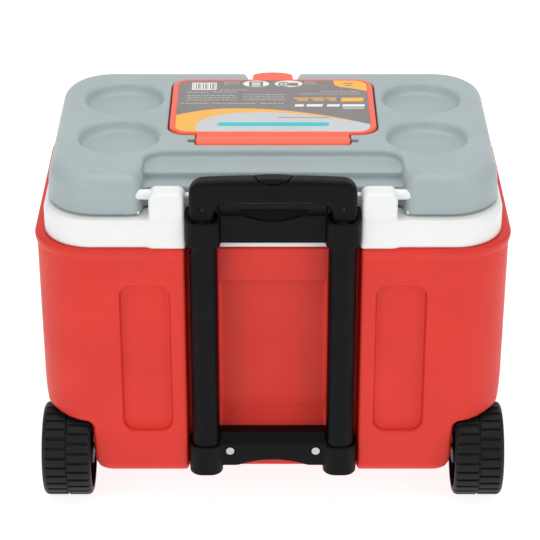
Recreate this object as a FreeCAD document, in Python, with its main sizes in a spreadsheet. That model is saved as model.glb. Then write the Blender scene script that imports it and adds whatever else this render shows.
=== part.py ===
import FreeCAD, Part
import math
import os
import re

import Sketcher
from FreeCAD import Rotation, Vector

# A wheeled, insulated cooler chest: red outer shell, white liner and rim, grey hinged lid with a
# small access hatch, telescopic trolley handle at the rear, two wheels and moulded front feet.
# Frame: +Z up, the trolley side faces -Y, the origin is on the floor under the middle of the chest.
# All lengths are millimetres and all angles are degrees.

DIMENSIONS = {
    # chest envelope
    "rear_y": -150, "front_y": 170, "body_half": 254, "body_bottom": 36, "body_top": 316,
    "body_corner": 56, "body_draft": 0.6, "bottom_round": 14, "flank_round": 130, "flank_high": 146,
    "skin": 3,
    # white rim and tub
    "rim_half": 244, "rim_rear": -149, "rim_front": 167, "rim_top": 348, "rim_corner": 52,
    "cavity_half": 212, "cavity_rear": -98, "cavity_front": 135, "cavity_floor": 66,
    "cavity_corner": 24, "cavity_draft": 1.5,
    # wheels and their wells
    "wheel_radius": 52, "wheel_inner": 200, "wheel_outer": 254, "axle_y": -118, "axle_z": 52,
    "axle_radius": 6, "well_radius": 58, "well_inner": 197, "foam_gap": 10, "keel_round": 28,
    # trolley channel and recesses of the rear face
    "channel_half": 93, "channel_depth": 20, "niche_half": 59, "niche_depth": 13, "niche_low": 103,
    "niche_high": 267, "niche_lip": 82, "niche_slope": 58,
    "panel_in": 110, "panel_out": 163, "panel_low": 92, "panel_high": 272,
    "panel_depth": 9, "panel_round": 12,
    # front panel, drain and feet
    "front_panel_half": 186, "front_panel_low": 84, "front_panel_high": 268, "front_panel_depth": 4,
    "drain_x": -150, "drain_z": 108, "drain_recess": 24, "drain_seat_y": 158, "foot_in": 108,
    "foot_out": 208, "foot_rear": 84, "foot_front": 158, "foot_round": 12,
    # side carrying grips
    "grip_mid_y": 10, "grip_reach": 258, "grip_half_length": 75, "grip_low": 258, "grip_high": 306,
    "grip_pocket_low": 204, "grip_pocket_depth": 25, "grip_pocket_half": 62, "grip_finger_top": 288,
    "grip_lip": 11,
    # hinge blocks on the rim
    "block_in": 92, "block_out": 130, "block_front": -122, "block_top": 378.5, "web_top": 370,
    "hinge_y": -130, "hinge_z": 370.5, "hinge_radius": 5.5, "running": 0.1,
    # lid
    "lid_half": 240, "lid_rear": -139, "lid_front": 166, "lid_base": 350.5, "lid_top_z": 392,
    "lid_corner": 55, "lid_draft": 4, "lid_round": 16, "lid_edge_round": 4, "lid_skin": 3,
    "tray_half": 137, "tray_rear": -116, "tray_step": -100, "tray_front": -63, "ledge_z": 373,
    "tray_z": 382.5, "cup_x": 167, "cup_rear_y": -27, "cup_front_y": 80, "cup_radius": 45,
    "cup_floor_radius": 38.5, "cup_depth": 12, "plug_half": 211, "plug_rear": -97, "plug_front": 134,
    "plug_low": 337, "plug_corner": 32,
    # hatch
    "hatch_half": 113.5, "hatch_rear": -22, "hatch_front": 131, "hatch_low": 386.5, "hatch_high": 394,
    "hatch_corner": 20, "seat_gap": 1.5, "seat_z": 384, "well_half": 104, "well_rear": -13,
    "well_front": 122, "barrel_y": -39, "barrel_z": 384.5, "barrel_radius": 8, "barrel_half": 83,
    "hatch_pin_radius": 2.5, "hatch_pin_half": 97, "tab_half": 24, "tab_front": 155, "notch_half": 35,
    "notch_z": 374, "label_half": 107, "label_rear": -19, "label_front": 127, "label_low": 393,
    "label_high": 393.6, "hatch_plug_half": 100, "hatch_plug_rear": -9, "hatch_plug_front": 118,
    "hatch_plug_low": 358, "seal_half": 110, "seal_width": 5, "seal_low": 384.2,
    # trolley handle
    "tube_x": 73.25, "trolley_y": -147, "outer_width": 30, "outer_depth": 24, "middle_width": 25,
    "middle_depth": 19, "inner_width": 20, "inner_depth": 14, "tube_wall": 2.2, "inner_wall": 1.5,
    "outer_low": 46, "outer_high": 346, "middle_low": 60, "middle_high": 342, "inner_low": 72,
    "inner_high": 372, "end_plug": 8, "collar_half": 18.25, "collar_rear": -161.5,
    "top_collar_low": 322, "top_rear_z": 350, "top_slope": 12.5, "top_panel_low": 321,
    "top_panel_rear": -146, "smile_radius": 76, "smile_low": 347, "low_collar_low": 42,
    "low_collar_high": 78, "crossbar_low": 51, "crossbar_high": 89, "crossbar_rear": -154,
    "crossbar_arch": 106, "screw_x": 47, "screw_z": 70, "screw_radius": 2.2, "screw_head": 4.5,
    # grip of the trolley handle
    "grip_half": 87.5, "grip_depth": 16.5, "grip_top": 397.3, "bar_low": 370, "leg_in": 61.5,
    "leg_low": 350, "leg_corner": 6, "leg_shoulder": 358.5, "bar_front": -135.5,
    "grip_screw_z": 364.5, "grip_corner": 14, "grip_round": 6,
    "button_half": 22, "button_high": 398.3, "button_low": 387, "button_travel": 3.5,
    "button_depth": 11, "bar_slot_low": 374, "bar_slot_high": 390.5, "release_bar_low": 381,
    "release_bar_high": 387, "push_rod_radius": 2, "lock_pin_radius": 2, "lock_pin_z": 68,
}

doc = FreeCAD.newDocument("cooler_chest")
sheet = doc.addObject("Spreadsheet::Sheet", "dims")


def fill_sheet():
    """Puts every driving dimension in its own named cell."""
    for row, (alias, value) in enumerate(DIMENSIONS.items(), start=1):
        sheet.set(f"A{row}", alias)
        sheet.set(f"B{row}", str(value))
        sheet.setAlias(f"B{row}", alias)
    doc.recompute()


def read(alias):
    """Gives the value that the sheet holds under a name."""
    return float(sheet.get(alias))


def bind(item, prop, expression):
    """Binds one property to the sheet; names in the expression stand for cells."""
    item.setExpression(prop, cells(expression))


def cells(expression):
    """Puts the sheet's name before every alias in an expression."""
    return re.sub(r"[a-z][a-z0-9_]*", lambda word: qualified(word.group()), str(expression))


def qualified(word):
    return f"dims.{word}" if word in DIMENSIONS else word


# ---------------------------------------------------------------- primitives and booleans

def box(name, x, y, z):
    """A block between two limits on each axis, each limit an expression."""
    block = doc.addObject("Part::Box", name)
    for prop, axis, (low, high) in (("Length", "x", x), ("Width", "y", y), ("Height", "z", z)):
        bind(block, prop, f"({high}) - ({low})")
        bind(block, f".Placement.Base.{axis}", low)
    return block


def rod(name, radius, direction, start, length):
    """A cylinder from a start point along +X, +Y or +Z."""
    cylinder = doc.addObject("Part::Cylinder", name)
    bind(cylinder, "Radius", radius)
    bind(cylinder, "Height", length)
    cylinder.Placement.Rotation = Rotation(Vector(0, 0, 1), Vector(*direction))
    for axis, value in zip("xyz", start):
        bind(cylinder, f".Placement.Base.{axis}", value)
    return cylinder


ALONG_X = (1, 0, 0)
ALONG_Y = (0, 1, 0)
ALONG_Z = (0, 0, 1)


def group(name, items):
    """Joins several solids; one solid is passed through."""
    if len(items) == 1:
        return items[0]
    union = doc.addObject("Part::MultiFuse", name)
    union.Shapes = list(items)
    union.Refine = True
    return union


def cut(name, base, *tools):
    """Takes the tools away from the base, one after another."""
    result = base
    for number, tool in enumerate(tools, start=1):
        step = doc.addObject("Part::Cut", name if number == len(tools) else f"{name}_{number}")
        step.Base = result
        step.Tool = tool
        result = step
    return result


def common(name, first, second):
    """Keeps what two solids share."""
    result = doc.addObject("Part::MultiCommon", name)
    result.Shapes = [first, second]
    return result


def fillet(name, base, radius, chosen):
    """Rounds the edges that a test on the edge picks out."""
    doc.recompute()
    rounding = doc.addObject("Part::Fillet", name)
    rounding.Base = base
    numbers = [i for i, edge in enumerate(base.Shape.Edges, start=1) if chosen(edge)]
    rounding.Edges = [(number, radius, radius) for number in numbers]
    return rounding


def upright(edge):
    """True for an edge that runs along Z."""
    start, end = edge.firstVertex().Point, edge.lastVertex().Point
    return abs(start.z - end.z) > 0.5 and abs(start.x - end.x) + abs(start.y - end.y) < 0.01


def level(height):
    """Gives a test that is true for the edges lying at one height."""
    def chosen(edge):
        return abs(edge.BoundBox.ZMin - height) < 0.01 and abs(edge.BoundBox.ZMax - height) < 0.01
    return chosen


def plate(name, x, y, z, corner):
    """A block with its four upright edges rounded."""
    return fillet(name, box(name + "_block", x, y, z), read_number(corner), upright)


def read_number(value):
    return read(value) if value in DIMENSIONS else float(value)


def around(half, grow="0"):
    """Limits that are symmetrical about the middle."""
    return (f"-({half}) - ({grow})", f"{half} + ({grow})")


def on_side(side, inner, outer):
    """Limits on the left (-1) or the right (+1) of the middle."""
    return (inner, outer) if side > 0 else (f"-({outer})", f"-({inner})")


def stadium(name, center, width, depth, low, high):
    """An upright bar with rounded ends, the section of the trolley tubes."""
    bar = doc.addObject("PartDesign::Body", name)
    sketch = new_sketch(bar, name + "_sketch")
    add_slot(sketch, cells(width), cells(depth))
    pad = bar.newObject("PartDesign::Pad", name + "_pad")
    pad.Profile = sketch
    bind(pad, "Length", f"({high}) - ({low})")
    for axis, value in zip("xyz", (*center, low)):
        bind(bar, f".Placement.Base.{axis}", value)
    return bar


def new_sketch(body, name):
    """A sketch on the ground plane of its own body."""
    sketch = body.newObject("Sketcher::SketchObject", name)
    ground = [plane for plane in body.Origin.OriginFeatures if plane.Role == "XY_Plane"][0]
    sketch.AttachmentSupport = [(ground, "")]
    sketch.MapMode = "FlatFace"
    return sketch


def add_slot(sketch, width, depth):
    """Draws a slot along X, centred on the sketch's origin, and ties it to its sizes."""
    straight, radius = 3.0, 10.0
    lines = [
        Part.LineSegment(Vector(-straight, -radius, 0), Vector(straight, -radius, 0)),
        Part.LineSegment(Vector(straight, radius, 0), Vector(-straight, radius, 0)),
    ]
    arcs = [
        Part.ArcOfCircle(circle(straight, 0, radius), -math.pi / 2, math.pi / 2),
        Part.ArcOfCircle(circle(-straight, 0, radius), math.pi / 2, 3 * math.pi / 2),
    ]
    bottom, top, right, left = [sketch.addGeometry(item) for item in lines + arcs]
    constrain = Sketcher.Constraint
    joints = [(bottom, 2, right, 1), (right, 2, top, 1), (top, 2, left, 1), (left, 2, bottom, 1)]
    for joint in joints:
        sketch.addConstraint(constrain("Tangent", *joint))
    sketch.addConstraint(constrain("Horizontal", bottom))
    sketch.addConstraint(constrain("Symmetric", right, 3, left, 3, -1, 1))
    name_size(sketch, constrain("DistanceX", left, 3, right, 3, 2 * straight), f"({width}) - ({depth})")
    name_size(sketch, constrain("Radius", right, radius), f"({depth}) / 2")


def circle(x, y, radius):
    return Part.Circle(Vector(x, y, 0), Vector(0, 0, 1), radius)


def name_size(sketch, constraint, expression):
    """Adds a driving constraint and binds it to the sheet."""
    index = sketch.addConstraint(constraint)
    sketch.setExpression(f"Constraints[{index}]", expression)


def tapered(name, half, rear, front, corner, low, high, draft):
    """A block with rounded corners whose sides lean outwards by the draft as they rise.

    half, rear and front are expressions for the outline at the low level.
    """
    body = doc.addObject("PartDesign::Body", name)
    sketch = new_sketch(body, name + "_sketch")
    add_rounded_rectangle(sketch, cells(half), cells(rear), cells(front), cells(corner))
    pad = body.newObject("PartDesign::Pad", name + "_pad")
    pad.Profile = sketch
    bind(pad, "Length", f"({high}) - ({low})")
    bind(pad, "TaperAngle", draft)
    bind(body, ".Placement.Base.z", low)
    return body


def add_rounded_rectangle(sketch, half, rear, front, corner):
    """Draws an outline that is symmetrical about Y and ties it to its sizes."""
    a, b, c, r = 100.0, -60.0, 80.0, 20.0
    corners = [(a, b, -90), (a, c, 0), (-a, c, 90), (-a, b, 180)]
    ends = [(-a + r, b, a - r, b), (a, b + r, a, c - r), (a - r, c, -a + r, c), (-a, c - r, -a, b + r)]
    lines = []
    for x0, y0, x1, y1 in ends:
        lines.append(sketch.addGeometry(Part.LineSegment(Vector(x0, y0, 0), Vector(x1, y1, 0))))
    arcs = []
    for x, y, start in corners:
        turn = math.radians(start)
        center = circle(x - math.copysign(r, x), y + (r if y == b else -r), r)
        arcs.append(sketch.addGeometry(Part.ArcOfCircle(center, turn, turn + math.pi / 2)))
    constrain = Sketcher.Constraint
    for index in range(4):
        sketch.addConstraint(constrain("Tangent", lines[index], 2, arcs[index], 1))
        sketch.addConstraint(constrain("Tangent", arcs[index], 2, lines[(index + 1) % 4], 1))
    for index in (0, 2):
        sketch.addConstraint(constrain("Horizontal", lines[index]))
    for index in (1, 3):
        sketch.addConstraint(constrain("Vertical", lines[index]))
    for index in (1, 2, 3):
        sketch.addConstraint(constrain("Equal", arcs[0], arcs[index]))
    name_size(sketch, constrain("Radius", arcs[0], r), corner)
    name_size(sketch, constrain("DistanceX", -1, 1, lines[1], 1, a), half)
    name_size(sketch, constrain("DistanceX", lines[3], 1, -1, 1, a), half)
    name_size(sketch, constrain("DistanceY", -1, 1, lines[0], 1, b), rear)
    name_size(sketch, constrain("DistanceY", -1, 1, lines[2], 1, c), front)


def finish(item, label):
    """Gives a finished sub-part its name."""
    item.Label = label
    subparts.append(item)
    return item


subparts = []
SIDES = ((-1, "left"), (1, "right"))


# ---------------------------------------------------------------- chest

def flank_corners(name, inset):
    """What the rounded lower flanks leave out of the square block."""
    corners = []
    for side, word in SIDES:
        square = box(f"{name}_flank_{word}", on_side(side, "body_half - flank_round", "body_half + 20"),
                     ("rear_y - 20", "front_y + 20"), ("-10", "flank_high"))
        curve = rod(f"{name}_flank_curve_{word}", f"flank_round - {inset}", ALONG_Y,
                    (f"{side} * (body_half - flank_round)", "rear_y - 30", "flank_high"),
                    "front_y - rear_y + 60")
        corners.append(cut(f"{name}_flank_corner_{word}", square, curve))
    return corners


def chest_envelope(name, inset):
    """The outside of the chest, moved inwards by an inset, with all its recesses."""
    rise = f"(body_top - body_bottom - {inset}) * tan(body_draft)"
    block = tapered(name + "_block", f"body_half - {inset} - {rise}", f"rear_y + {inset} + {rise}",
                    f"front_y - {inset} - {rise}", f"body_corner - {inset}", f"body_bottom + {inset}",
                    f"body_top - {inset}", "body_draft")
    doc.recompute()
    low = block.Shape.BoundBox.ZMin
    round_low = fillet(name + "_round", block, read("bottom_round"), level(low))
    curved = cut(name + "_flanks", round_low, *flank_corners(name, inset))
    added = [curved] + chest_feet(name, inset) + side_grip_lips(name, inset)
    solid = group(name + "_solid", added)
    recesses = wheel_wells(name, inset) + rear_recesses(name, inset)
    recesses += front_recesses(name, inset) + side_grip_pockets(name, inset)
    return cut(name, solid, *recesses)


def chest_feet(name, inset):
    """Two feet under the front, moulded with the shell."""
    feet = []
    for side, word in SIDES:
        x = on_side(side, f"foot_in + {inset}", f"foot_out - {inset}")
        y = (f"foot_rear + {inset}", f"foot_front - {inset}")
        z = (str(inset), "body_bottom + bottom_round + skin + 1")
        feet.append(plate(f"{name}_foot_{word}", x, y, z, "foot_round"))
    return feet


def wheel_wells(name, inset):
    """A round well over each wheel, open at the outside and below, with a rounded corner inside it."""
    wells = []
    for side, word in SIDES:
        x = on_side(side, f"well_inner - {inset}", "body_half + 20")
        arch = rod(f"{name}_arch_{word}", f"well_radius + {inset}", ALONG_X,
                   (x[0], "axle_y", "axle_z"), f"{x[1]} - ({x[0]})")
        below = box(f"{name}_below_{word}", x, (f"axle_y - well_radius - {inset}",
                    f"axle_y + well_radius + {inset}"), ("-10", "axle_z"))
        keel_x = on_side(side, "well_inner - keel_round", "body_half + 20")
        keel_z = "body_bottom + keel_round"
        corner = box(f"{name}_keel_{word}", keel_x, ("rear_y - 20", f"axle_y + well_radius + {inset}"),
                     ("-10", keel_z))
        rounded = rod(f"{name}_keel_round_{word}", f"keel_round - {inset}", ALONG_Y,
                      (f"{side} * (well_inner - keel_round)", "rear_y - 30", keel_z), "200")
        wells += [arch, below, cut(f"{name}_keel_corner_{word}", corner, rounded)]
    return wells


def rear_recesses(name, inset):
    """The trolley channel, the niche between its tubes and a panel each side."""
    channel = box(name + "_channel", around("channel_half", inset),
                  ("rear_y - 20", f"rear_y + channel_depth + {inset}"),
                  ("0", "body_top + 10"))
    niche = box(name + "_niche", around("niche_half", inset),
                ("rear_y - 20", f"rear_y + channel_depth + niche_depth + {inset}"),
                (f"niche_low - {inset}", f"niche_high + {inset}"))
    lip_low = f"niche_lip - {inset} / cos(niche_slope)"
    slope = slanted_block(name + "_lip_slope", "rear_y + channel_depth", lip_low, "niche_slope")
    under = box(name + "_lip_block", around("niche_half", inset),
                ("rear_y", f"rear_y + channel_depth + niche_depth + {inset}"), (lip_low, "niche_low + 1"))
    recesses = [channel, niche, common(name + "_lip", under, slope)]
    for side, word in SIDES:
        x = on_side(side, f"panel_in - {inset}", f"panel_out + {inset}")
        panel = box(f"{name}_panel_{word}", x, ("rear_y - 20", f"rear_y + panel_depth + {inset}"),
                    (f"panel_low - {inset}", f"panel_high + {inset}"))
        recesses.append(fillet(f"{name}_panel_{word}_round", panel, read("panel_round"), along_y))
    return recesses


def along_y(edge):
    """True for an edge that runs along Y."""
    start, end = edge.firstVertex().Point, edge.lastVertex().Point
    return abs(start.y - end.y) > 0.5 and abs(start.x - end.x) + abs(start.z - end.z) < 0.01


def front_recesses(name, inset):
    """A shallow panel across the front and the round seat of the drain."""
    panel = box(name + "_front_panel", around("front_panel_half", inset),
                (f"front_y - front_panel_depth - {inset}", "front_y + 20"),
                (f"front_panel_low - {inset}", f"front_panel_high + {inset}"))
    rounded = fillet(name + "_front_panel_round", panel, 2 * read("panel_round"), along_y)
    seat = rod(name + "_drain_seat", f"drain_recess + {inset}", ALONG_Y,
               ("drain_x", f"drain_seat_y - {inset}", "drain_z"), "40")
    return [rounded, seat]


def grip_bow():
    """Radius of the bowed outline of a side grip, which rises from the chest's side."""
    rise = read("grip_reach") - read("body_half") + 2
    half = read("grip_half_length")
    return (half * half + rise * rise) / (2 * rise)


def side_grip_lips(name, inset):
    """A bowed lip on each side, under which the fingers go."""
    lips = []
    radius = grip_bow()
    for side, word in SIDES:
        bow = rod(f"{name}_bow_{word}", radius, ALONG_Z,
                  (f"{side} * (grip_reach - {inset} - {radius})", "grip_mid_y", f"grip_low + {inset}"),
                  f"grip_high - grip_low - 2 * {inset}")
        keep = box(f"{name}_bow_keep_{word}", on_side(side, "body_half - 12", "body_half + 20"),
                   ("grip_mid_y - grip_half_length", "grip_mid_y + grip_half_length"),
                   ("grip_low", "grip_high"))
        lips.append(common(f"{name}_lip_{word}", bow, keep))
    return lips


def side_grip_pockets(name, inset):
    """A pocket below each lip, with room for the fingers behind it."""
    pockets = []
    y = (f"grip_mid_y - grip_pocket_half - {inset}", f"grip_mid_y + grip_pocket_half + {inset}")
    for side, word in SIDES:
        x = on_side(side, f"body_half - grip_pocket_depth - {inset}", "body_half + 20")
        low = (f"grip_pocket_low - {inset}", f"grip_low - {inset}" if inset else "grip_low")
        pocket = box(f"{name}_pocket_{word}", x, y, low)
        behind_x = on_side(side, f"body_half - grip_pocket_depth - {inset}",
                           f"body_half - grip_lip + {inset}")
        behind = box(f"{name}_behind_{word}", behind_x, y,
                     (f"grip_low - {inset} - 1", f"grip_finger_top + {inset}"))
        pockets += [pocket, behind]
    return pockets


def rim_block(name, inset, low, high):
    """The straight-sided block of the white rim, moved inwards by an inset."""
    return plate(name, around("rim_half", f"-{inset}"), (f"rim_rear + {inset}", f"rim_front - {inset}"),
                 (low, high), "rim_corner")


def tub(name, grow, top):
    """The tapered inside of the chest, grown outwards, less the humps over the wheels."""
    block = tapered(name + "_block", f"cavity_half + {grow}", f"cavity_rear - {grow}",
                    f"cavity_front + {grow}", f"cavity_corner + {grow}", f"cavity_floor - {grow}",
                    top, "cavity_draft")
    humps = []
    for side, word in SIDES:
        clear = f"skin + foam_gap + skin - {grow}"
        x = on_side(side, f"well_inner - ({clear})", "rim_half")
        humps.append(box(f"{name}_hump_{word}", x,
                         ("rear_y", f"axle_y + well_radius + {clear}"),
                         ("0", f"axle_z + well_radius + {clear}")))
    return cut(name, block, *humps)


def drain_bore(name, radius):
    return rod(name, radius, ALONG_Y, ("drain_x", "cavity_front - 20", "drain_z"), "60")


def axle_bore(name):
    return rod(name, "axle_radius", ALONG_X, ("-body_half", "axle_y", "axle_z"), "2 * body_half")


def screw_bores(name, radius):
    """Two bores for the screws of the lower trolley bracket."""
    return [rod(f"{name}_{word}", radius, ALONG_Y, (f"{side} * screw_x", "crossbar_rear", "screw_z"),
                "28") for side, word in SIDES]


def outer_shell():
    inside = chest_envelope("shell_inside", "skin")
    outside = chest_envelope("shell_outside", "0")
    mouth = rim_block("shell_mouth", "skin", "body_top - 30", "body_top + 1")
    behind_web = box("shell_channel_top", around("channel_half"),
                     ("rear_y - 20", "rear_y + channel_depth"), ("body_top - 40", "body_top + 10"))
    shell = cut("shell_walls", outside, inside, cut("shell_mouth_open", mouth, behind_web),
                drain_bore("shell_drain", 12), axle_bore("shell_axle"),
                *screw_bores("shell_screws", "screw_radius"))
    return finish(shell, "outer_shell")


def inner_liner():
    """The white tub, its rim and the blocks that carry the lid's hinge."""
    rim = rim_block("rim_outside", "0", "body_top", "rim_top")
    rounded = fillet("rim_round", rim, 4, level(read("rim_top")))
    wide = box("rim_block_row", around("block_out"), ("rim_rear", "block_front"),
               ("rim_top - 10", "block_top"))
    blocks = fillet("rim_blocks_round", wide, 7, block_top_edge)
    outside = group("liner_outside", [rounded, blocks, tub("tub_outside", "skin", "rim_top")])
    channel = box("liner_channel", around("block_in"), ("rear_y - 20", "rear_y + channel_depth"),
                  ("body_top - 40", "block_top + 10"))
    web = box("liner_web_top", around("block_in"), ("rear_y - 20", "block_front + 1"),
              ("web_top", "block_top + 10"))
    pins = [lid_pin(f"liner_pin_{word}", side, "hinge_radius") for side, word in SIDES]
    hollow = cut("rim_hollow", rim_block("rim_inside", "skin", "body_top - 1", "rim_top - skin"),
                 box("rim_web_keep", around("block_out"), ("rear_y", "block_front"), ("0", "rim_top")),
                 tub("tub_keep", "skin", "rim_top"))
    cavity = tub("cavity", "0", "rim_top + 1")
    liner = cut("liner", outside, channel, web, hollow, cavity, drain_bore("liner_drain", 12), *pins)
    return finish(liner, "inner_liner")


def block_top_edge(edge):
    """True for the outer upper edges of the hinge blocks."""
    middle = edge.CenterOfMass
    high = middle.z > read("block_top") - 0.1
    return high and (abs(middle.x) > read("block_out") - 0.1 or middle.y < read("rim_rear") + 0.1)


def lid_pin(name, side, radius):
    start = "112" if side > 0 else "-148"
    return rod(name, radius, ALONG_X, (start, "hinge_y", "hinge_z"), "36")


def body_insulation():
    inside = chest_envelope("foam_outside", "skin")
    rim_fill = cut("foam_rim", rim_block("foam_rim_block", "skin", "body_top - skin - 1",
                   "rim_top - skin"), box("foam_web", around("block_out"), ("rear_y", "block_front"),
                   ("body_top", "rim_top")),
                   box("foam_channel", around("channel_half", "skin"),
                       ("rear_y - 20", "rear_y + channel_depth + skin"), ("0", "rim_top")))
    whole = group("foam_whole", [inside, rim_fill])
    foam = cut("foam", whole, tub("foam_tub", "skin", "rim_top"), axle_bore("foam_axle"),
               drain_bore("foam_drain", 12), *screw_bores("foam_screws", "screw_radius"))
    return finish(foam, "body_insulation")


def drain():
    """A spout through the front wall and the cap that closes it."""
    tube = rod("spout_tube", 12, ALONG_Y, ("drain_x", "cavity_front - 6", "drain_z"),
               "drain_seat_y - cavity_front + 8")
    flange = rod("spout_flange", 18, ALONG_Y, ("drain_x", "drain_seat_y", "drain_z"), "2")
    bore = rod("spout_bore", 8.5, ALONG_Y, ("drain_x", "cavity_front - 20", "drain_z"), "60")
    spout = cut("spout", group("spout_solid", [tube, flange]), bore)
    finish(cut("spout_trimmed", spout, tub("spout_cavity", "0", "rim_top")), "drain_spout")
    head = rod("cap_head", 17, ALONG_Y, ("drain_x", "drain_seat_y + 2.3", "drain_z"), "4")
    grip = box("cap_grip", ("drain_x - 2.5", "drain_x + 2.5"),
               ("drain_seat_y + 5", "drain_seat_y + 11.5"), ("drain_z - 13", "drain_z + 13"))
    stem = rod("cap_stem", 8.3, ALONG_Y, ("drain_x", "drain_seat_y - 14", "drain_z"), "17")
    finish(group("cap", [head, grip, stem]), "drain_cap")


def lid_hinge_pins():
    for side, word in SIDES:
        finish(lid_pin(f"pin_{word}", side, "hinge_radius"), f"lid_hinge_pin_{word}")


# ---------------------------------------------------------------- wheels

def axle():
    bar = rod("axle_bar", "axle_radius", ALONG_X, ("-wheel_outer + 2", "axle_y", "axle_z"),
              "2 * wheel_outer - 4")
    finish(bar, "wheel_axle")


def wheel(side, word):
    """A hollow-sided plastic wheel: tread ring, web and hub around the axle."""
    def ring(name, radius, inner, outer):
        x = on_side(side, inner, outer)
        return rod(f"{name}_{word}", radius, ALONG_X, (x[0], "axle_y", "axle_z"), f"{x[1]} - ({x[0]})")

    tread = fillet(f"tread_round_{word}", ring("tread", "wheel_radius", "wheel_inner", "wheel_outer"),
                   7, lambda edge: edge.Length > 300)
    hollow_in = ring("hollow_in", "wheel_radius - 9", "wheel_inner - 1", "wheel_inner + 20")
    hollow_out = ring("hollow_out", "wheel_radius - 9", "wheel_outer - 8", "wheel_outer + 1")
    hub = ring("hub", 15, "well_inner + 1.5", "wheel_outer - 3")
    bore = ring("wheel_bore", "axle_radius + 0.08", "wheel_inner - 10", "wheel_outer + 10")
    rim = cut(f"rim_ring_{word}", tread, hollow_in, hollow_out)
    finish(cut(f"wheel_{word}_solid", group(f"wheel_{word}_joined", [rim, hub]), bore), f"wheel_{word}")


def axle_caps():
    """The push-on cap that holds each wheel, and the washer behind it."""
    for side, word in SIDES:
        x = on_side(side, "wheel_outer - 2.7", "wheel_outer + 2")
        disc = rod(f"cap_disc_{word}", 12, ALONG_X, (x[0], "axle_y", "axle_z"), "4.7")
        bore = axle_end_bore(f"cap_bore_{word}")
        finish(cut(f"axle_cap_{word}_solid", disc, bore), f"axle_cap_{word}")


def axle_end_bore(name):
    return rod(name, "axle_radius", ALONG_X, ("-wheel_outer + 2", "axle_y", "axle_z"),
               "2 * wheel_outer - 4")


# ---------------------------------------------------------------- lid

def lid_envelope(name, inset, low):
    """The outside of the lid, moved inwards by an inset, less its tray, cups and openings."""
    raised = f"({low} - lid_base) * tan(lid_draft)"
    block = tapered(name + "_block", f"lid_half - {inset} - {raised}", f"lid_rear + {inset} + {raised}",
                    f"lid_front - {inset} - {raised}", f"lid_corner - {inset}", low,
                    f"lid_top_z - {inset}", "-lid_draft")
    doc.recompute()
    top = block.Shape.BoundBox.ZMax
    domed = fillet(name + "_domed", block, read("lid_round") - read_number(inset), level(top))
    if inset == "0":
        domed = fillet(name + "_edge", domed, read("lid_edge_round"), level(read("lid_base")))
    return cut(name, domed, *lid_recesses(name, inset))


def lid_recesses(name, inset):
    """Everything that is sunk into or cut through the lid, grown by the inset."""
    above = "lid_top_z + 10"
    tray_x = around("tray_half", inset)
    recesses = [
        box(name + "_rear", tray_x, ("rear_y - 20", f"tray_rear + {inset}"), ("lid_base - 10", above)),
        box(name + "_ledge", tray_x, ("rear_y - 20", f"tray_step + {inset}"),
            (f"ledge_z - {inset}", above)),
        plate(name + "_tray", tray_x, ("rear_y - 40", f"tray_front + {inset}"),
              (f"tray_z - {inset}", above), 18),
        plate(name + "_well", around("well_half", inset),
              (f"well_rear - {inset}", f"well_front + {inset}"), ("lid_base - 20", above), 16),
        plate(name + "_seat", around("hatch_half", f"seat_gap + {inset}"),
              (f"hatch_rear - seat_gap - {inset}", f"hatch_front + seat_gap + {inset}"),
              (f"seat_z - {inset}", above), "hatch_corner"),
        box(name + "_barrel", around("barrel_half", f"1 + {inset}"),
            (f"barrel_y - barrel_radius - 4 - {inset}", "hatch_rear + 4"),
            (f"barrel_z - barrel_radius - 1.5 - {inset}", above)),
        box(name + "_notch", around("notch_half", inset), ("hatch_front - 2", "lid_front + 20"),
            (f"notch_z - {inset}", above)),
    ]
    for side, word in SIDES:
        slot = on_side(side, "barrel_half", "barrel_half + 9")
        if inset == "0":
            recesses.append(box(f"{name}_pin_slot_{word}", slot, ("barrel_y - 4", "barrel_y + 4"),
                                ("barrel_z - 4", above)))
        recesses.append(lid_pin(f"{name}_lid_pin_{word}", side, "hinge_radius + running"))
        for place in ("cup_rear_y", "cup_front_y"):
            recesses.append(cup(f"{name}_cup_{word}_{place}", side, place, inset))
    recesses.append(rod(name + "_hatch_pin", "hatch_pin_radius", ALONG_X,
                        ("-hatch_pin_half", "barrel_y", "barrel_z"), "2 * hatch_pin_half"))
    return recesses


def cup(name, side, place, inset):
    """The tapered space of a cup holder, grown by the inset."""
    cone = doc.addObject("Part::Cone", name)
    bind(cone, "Radius1", f"cup_floor_radius + {inset}")
    bind(cone, "Radius2", f"cup_radius + {inset} + 1")
    bind(cone, "Height", f"cup_depth + {inset} + 1")
    bind(cone, ".Placement.Base.x", f"{side} * cup_x")
    bind(cone, ".Placement.Base.y", place)
    bind(cone, ".Placement.Base.z", f"lid_top_z - cup_depth - {inset}")
    return cone


def plug_block(name, inset, low, high):
    """The raised underside of the lid that drops into the chest."""
    block = plate(name + "_outline", around("plug_half", f"-{inset}"),
                  (f"plug_rear + {inset}", f"plug_front - {inset}"), (low, high), "plug_corner")
    hole = plate(name + "_hole", around("well_half", inset), (f"well_rear - {inset}",
                 f"well_front + {inset}"), ("plug_low - 10", "lid_top_z"), 16)
    return cut(name, block, hole)


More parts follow.
